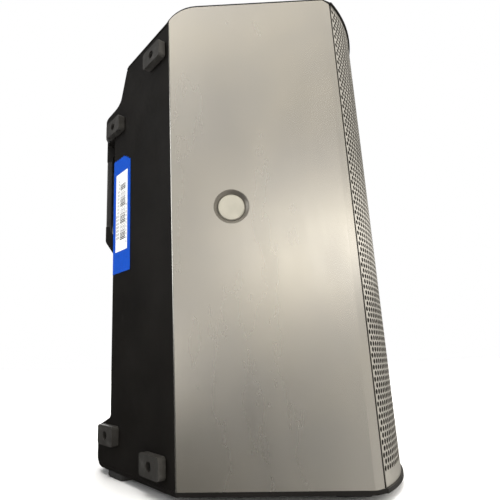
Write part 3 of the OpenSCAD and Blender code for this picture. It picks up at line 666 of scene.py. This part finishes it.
softened("rear_shell", 0.8, MAT["shell_black"])
softened("top_cap", 0.5, MAT["cap_black"])
softened("bottom_cap", 0.6, MAT["cap_black"])
softened("monitor_feet", 1.1, MAT["grey_rubber"], segments=3)
softened("handle_bar", 0.9, MAT["black_plastic"])
softened("amp_panel", 0.3, MAT["black_steel"])
softened("input_1_button", 0.4, MAT["button_grey"], "input_1_button")
softened("input_2_button", 0.4, MAT["button_grey"], "input_2_button")


# ---------- tape and tag on the left angled side ----------

def on_bevel(m, z, out):
    """A spot on the left angled side: m along it, z up, out from its face."""
    s, c = math.sin(BEVEL), math.cos(BEVEL)
    return (-(HALF_W - m * s + out * c), EDGE_Y + m * c + out * s, z)


def ripple(m, z):
    """Small waves of a sheet that isn't pressed quite flat."""
    return (0.05 * math.sin(m * 0.9 + z * 0.21 + 1) + 0.04 * math.sin(z * 0.47 + 2)
            + 0.03 * math.sin(m * 2.3 - z * 0.13))


def laid_sheet(name, top, low, reach, base, thick, mat, steps, lift=0.0):
    """Thin sheet on the angled side; top and low give its outline, lift raises its top end."""
    nu, nv = steps
    m0, m1 = reach
    verts = []
    for front in (True, False):
        for i in range(nu + 1):
            m = m0 + (m1 - m0) * i / nu
            for j in range(nv + 1):
                z = low(m) + (top(m) - low(m)) * j / nv
                out = base + max(0.0, (z - (top(m) - 5)) / 5) * lift
                if front:
                    out += thick + (ripple(m, z) + 0.12) * 0.5
                verts.append(on_bevel(m, z, out))
    w = nv + 1
    corners = [i * w + j for i in range(nu) for j in range(nv)]
    faces = [[a, a + 1, a + w + 1, a + w] for a in corners]
    mesh = mesh_of(name, verts, doubled(faces, (nu + 1) * w))
    outward(mesh)
    return put(name, mesh, mat, "cabinet", 40)


def torn(m):
    """Height of the tape's torn end."""
    slope = 0.6 * max(0.0, TAPE_PEAK_M - m)
    wave = 0.8 * math.sin(m * 1.1) + 0.6 * math.sin(m * 2.7 + 1) + 0.4 * math.sin(m * 6.1)
    return min(TAPE_Z[1], TAPE_Z[1] - 0.6 - slope + wave)


def cut(m):
    """Height of the tape's other end, with the fine teeth of its dispenser."""
    return TAPE_Z[0] + 0.35 * (abs((m * 1.25) % 2 - 1))


tape = laid_sheet("painters_tape", torn, cut, TAPE_M, 0.02, 0.14, MAT["tape_blue"], (44, 120), 0.25)
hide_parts("tape_label")
laid_sheet("tag", lambda m: TAG_Z[1], lambda m: TAG_Z[0], TAG_M, 0.22, 0.1, PAPER, (30, 100))


# ---------- thin printed shapes ----------

def rect(x0, x1, z0, z1):
    return [(x0, z0), (x1, z0), (x1, z1), (x0, z1)]


def plates(name, shapes, place, mat, body):
    """Thin plates: place gives the spot of an outline's point on layer 0 or 1."""
    verts, faces = [], []
    for shape in shapes:
        k, n = len(verts), len(shape)
        verts += [place(u, v, layer) for layer in (0, 1) for u, v in shape]
        faces += [[k + i for i in f] for f in doubled([list(range(n))], n)]
    mesh = mesh_of(name, verts, faces)
    outward(mesh)
    put(name, mesh, mat, body, 0)


def bars():
    """A plain pattern of bars and dashes on the tag, with nothing to read."""
    widths = [0.9, 0.5, 1.4, 0.6, 0.5, 1.0, 0.5, 1.5, 0.8, 0.5, 1.2, 0.6]
    shapes = []
    z, k = 268.0, 0
    while z < 340:
        w = widths[(k * 5 + 2) % 12]
        shapes.append(rect(99.0, 112.5, z, z + w))
        z += w + widths[(k * 7 + 4) % 12] * 0.85 + 0.25
        k += 1
    for m, start, end in ((96.2, 262, 312), (115.2, 270, 344), (118.2, 270, 330), (121.2, 270, 300)):
        dashes = math.ceil((end - start) / 4.6)
        shapes += [rect(m, m + 1.1, start + 4.6 * i, start + 4.6 * i + 3.4) for i in range(dashes)]
    layers = (0.24, 0.43)
    plates("tag_bars", shapes, lambda m, z, k: on_bevel(m, z, layers[k]), INK, "cabinet")


def tick(x, z, angle, r0, r1, w):
    """A short radial line; the angle runs clockwise from the top, seen from behind."""
    dx, dz = -math.sin(angle), math.cos(angle)
    nx, nz = dz * w / 2, -dx * w / 2
    corners = ((r0, 1), (r1, 1), (r1, -1), (r0, -1))
    return [(x + dx * r - s * nx, z + dz * r - s * nz) for r, s in corners]


def frame_lines(x0, x1, z0, z1, w):
    return [rect(x0, x1, z0, z0 + w), rect(x0, x1, z1 - w, z1),
            rect(x0, x0 + w, z0 + w, z1 - w), rect(x1 - w, x1, z0 + w, z1 - w)]


def panel_print():
    """Scales round the knobs, and a frame round the controls and round the output."""
    shapes = []
    for x, z, r in KNOBS.values():
        for k in range(11):
            long = k in (0, 5, 10)
            shapes.append(tick(x, z, math.radians(-140 + 28 * k), r + 1.7, r + (3.2 if long else 2.5), 0.35))
    shapes += frame_lines(-35.5, 35.5, 162.2, 211.2, 0.3)
    shapes += frame_lines(-35.5, -6.6, 94.3, 128.4, 0.3)
    layers = (PANEL_Y, PANEL_Y + 0.06)
    plates("panel_print", shapes, lambda x, z, k: (x, layers[k], z), PRINT, "cabinet")


def pointer(node):
    """A pale line let into a knob's face."""
    x, z, r = KNOBS[node]
    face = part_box(node)[1][1] / MM
    layers = (face - 0.75, face - 0.02)
    line = tick(x, z, 0.0, r * 0.38, r - 1.1, 0.8)
    plates(node + "_pointer", [line], lambda x, z, k: (x, layers[k], z), PRINT, node)


bars()
panel_print()
for node in KNOBS:
    pointer(node)


# ---------- stage, lights and camera ----------

def stage_sheet(name, size, z, mat):
    """A level sheet with a softly raised rim far from the object."""
    verts, faces = [], []
    n = 24
    for i in range(n + 1):
        for j in range(n + 1):
            x, y = (i / n - 0.5) * size, (j / n - 0.5) * size
            far = max(0.0, math.hypot(x, y) - size * 0.42)
            verts.append((x / MM, y / MM, (z + 0.02 * far * far) / MM))
    for i in range(n):
        for j in range(n):
            a = i * (n + 1) + j
            faces.append([a, a + n + 1, a + n + 2, a + 1])
    mesh = mesh_of(name, verts, faces)
    mesh.materials.append(mat)
    mesh.shade_smooth()
    obj = bpy.data.objects.new(name, mesh)
    bpy.context.scene.collection.objects.link(obj)
    return obj


def pale_floor():
    s = Surface("pale floor", (0.9, 0.9, 0.9), 0.85)
    s.paint(s.tone(0.985, 1.01, 3))
    s.bump(s.noise(300, 3), 0.00005, 0.2)
    return s.mat


floor = stage_sheet("floor", 9.0, 0.0, pale_floor())
floor.visible_glossy = False


def area(name, at, to, size, power, colour=(1, 1, 1), reflected=True):
    """A soft rectangular lamp; one that isn't reflected leaves no highlight on the silver."""
    lamp = bpy.data.lights.new(name, "AREA")
    lamp.shape = "RECTANGLE"
    lamp.size, lamp.size_y = size
    lamp.energy = power
    lamp.color = colour
    obj = bpy.data.objects.new(name, lamp)
    obj.location = at
    obj.rotation_euler = (Vector(to) - Vector(at)).to_track_quat("-Z", "Y").to_euler()
    obj.visible_glossy = reflected
    bpy.context.scene.collection.objects.link(obj)


MIDDLE = (0, 0, 0.25)
area("front window", (-1.6, -1.2, 1.0), (0, -0.05, 0.25), (1.2, 1.6), 26, (1.0, 0.98, 0.93), False)
area("high soft box", (-0.3, 0.2, 2.4), (0, 0, 0.2), (1.8, 1.8), 22, (1.0, 0.98, 0.95))
area("rear fill", (-0.7, 1.9, 0.9), MIDDLE, (1.2, 1.2), 15, (0.96, 0.98, 1.0))
area("far side fill", (1.9, 0.3, 1.2), MIDDLE, (1.6, 1.6), 22)
area("front fill", (0.6, -2.0, 0.9), MIDDLE, (1.4, 1.4), 11, reflected=False)

sun = bpy.data.lights.new("ceiling", "SUN")
sun.energy = 1.9
sun.angle = math.radians(50)
lamp = bpy.data.objects.new("ceiling", sun)
lamp.rotation_euler = (0.12, 0.1, 0)
lamp.visible_glossy = False
bpy.context.scene.collection.objects.link(lamp)


class Sky:
    """The room the silver reflects, as a brightness by direction."""

    def __init__(self, tree):
        self.tree = tree
        coord = tree.nodes.new("ShaderNodeTexCoord")
        split = tree.nodes.new("ShaderNodeSeparateXYZ")
        tree.links.new(coord.outputs["Generated"], split.inputs[0])
        self.x, self.y, self.z = (split.outputs[k] for k in "XYZ")

    def ease(self, value, lo, hi, out_lo, out_hi):
        n = self.tree.nodes.new("ShaderNodeMapRange")
        n.interpolation_type = "SMOOTHSTEP"
        for key, v in (("From Min", lo), ("From Max", hi)):
            n.inputs[key].default_value = v
        for key, v in (("To Min", out_lo), ("To Max", out_hi)):
            if isinstance(v, float):
                n.inputs[key].default_value = v
            else:
                self.tree.links.new(v, n.inputs[key])
        self.tree.links.new(value, n.inputs["Value"])
        return n.outputs["Result"]

    def math(self, kind, a, b):
        n = self.tree.nodes.new("ShaderNodeMath")
        n.operation = kind
        for k, v in enumerate((a, b)):
            if isinstance(v, float):
                n.inputs[k].default_value = v
            else:
                self.tree.links.new(v, n.inputs[k])
        return n.outputs[0]

    def times(self, *values):
        total = values[0]
        for v in values[1:]:
            total = self.math("MULTIPLY", total, v)
        return total

    def plus(self, a, b):
        return self.math("ADD", a, b)


def room_glow(sky):
    """Brightness of the room: a bright front band, a dim floor and back, and two edge glints."""
    band = sky.times(sky.ease(sky.z, 0.1, 0.2, 0.0, 1.0), sky.ease(sky.z, 0.24, 0.38, 1.0, 0.0),
                     sky.ease(sky.y, -0.22, 0.05, 1.75, 0.0), sky.ease(sky.y, -0.9, -0.5, 0.75, 1.0))
    level = sky.plus(sky.plus(band, 0.6), sky.ease(sky.z, 0.52, 0.75, 0.0, 0.45))
    low = sky.ease(sky.y, -0.34, -0.1, 0.95, 0.1)
    glow = sky.times(level, sky.ease(sky.z, -0.1, 0.04, low, 1.0),
                     sky.ease(sky.y, 0.25, 0.6, 1.0, 0.1), sky.ease(sky.x, 0.2, 0.8, 1.0, 0.4))
    edge = sky.times(sky.ease(sky.y, 0.02, 0.07, 0.0, 1.0), sky.ease(sky.y, 0.14, 0.22, 1.0, 0.0))
    glint = sky.times(edge, sky.ease(sky.z, -0.14, -0.07, 0.0, 1.15), sky.ease(sky.z, 0.04, 0.12, 1.0, 0.0))
    shine = sky.times(edge, sky.ease(sky.z, 0.42, 0.56, 0.0, 0.5))
    return sky.plus(sky.plus(glow, glint), shine)


def studio():
    """A world that lights and reflects as the room does, and shows plain white behind the object."""
    world = bpy.data.worlds.new("studio")
    world.use_nodes = True
    tree = world.node_tree
    tree.nodes.clear()
    lit, seen = (tree.nodes.new("ShaderNodeBackground") for _ in range(2))
    lit.inputs["Color"].default_value = (1.0, 0.965, 0.905, 1)
    tree.links.new(room_glow(Sky(tree)), lit.inputs["Strength"])
    seen.inputs["Color"].default_value = (1, 1, 1, 1)
    path = tree.nodes.new("ShaderNodeLightPath")
    mix = tree.nodes.new("ShaderNodeMixShader")
    out = tree.nodes.new("ShaderNodeOutputWorld")
    tree.links.new(path.outputs["Is Camera Ray"], mix.inputs["Fac"])
    tree.links.new(lit.outputs["Background"], mix.inputs[1])
    tree.links.new(seen.outputs["Background"], mix.inputs[2])
    tree.links.new(mix.outputs["Shader"], out.inputs["Surface"])
    return world


bpy.context.scene.world = studio()

camera = bpy.data.cameras.new("camera")
camera.lens = 32.13
camera.sensor_width = 36
camera.shift_x = 0.1277
camera.clip_start = 0.01
cam = bpy.data.objects.new("camera", camera)
right = Vector((0.0469, -0.9986, -0.0225)).normalized()
back = right.cross(Vector((-0.2338, -0.0329, 0.9717))).normalized()
turn = Matrix((right, back.cross(right), back)).transposed().to_4x4()
cam.matrix_world = Matrix.Translation((-0.58341, (EDGE_Y - 32.75) * MM, 0.12681)) @ turn
bpy.context.scene.collection.objects.link(cam)
bpy.context.scene.camera = cam
bpy.context.scene.view_settings.view_transform = "Standard"
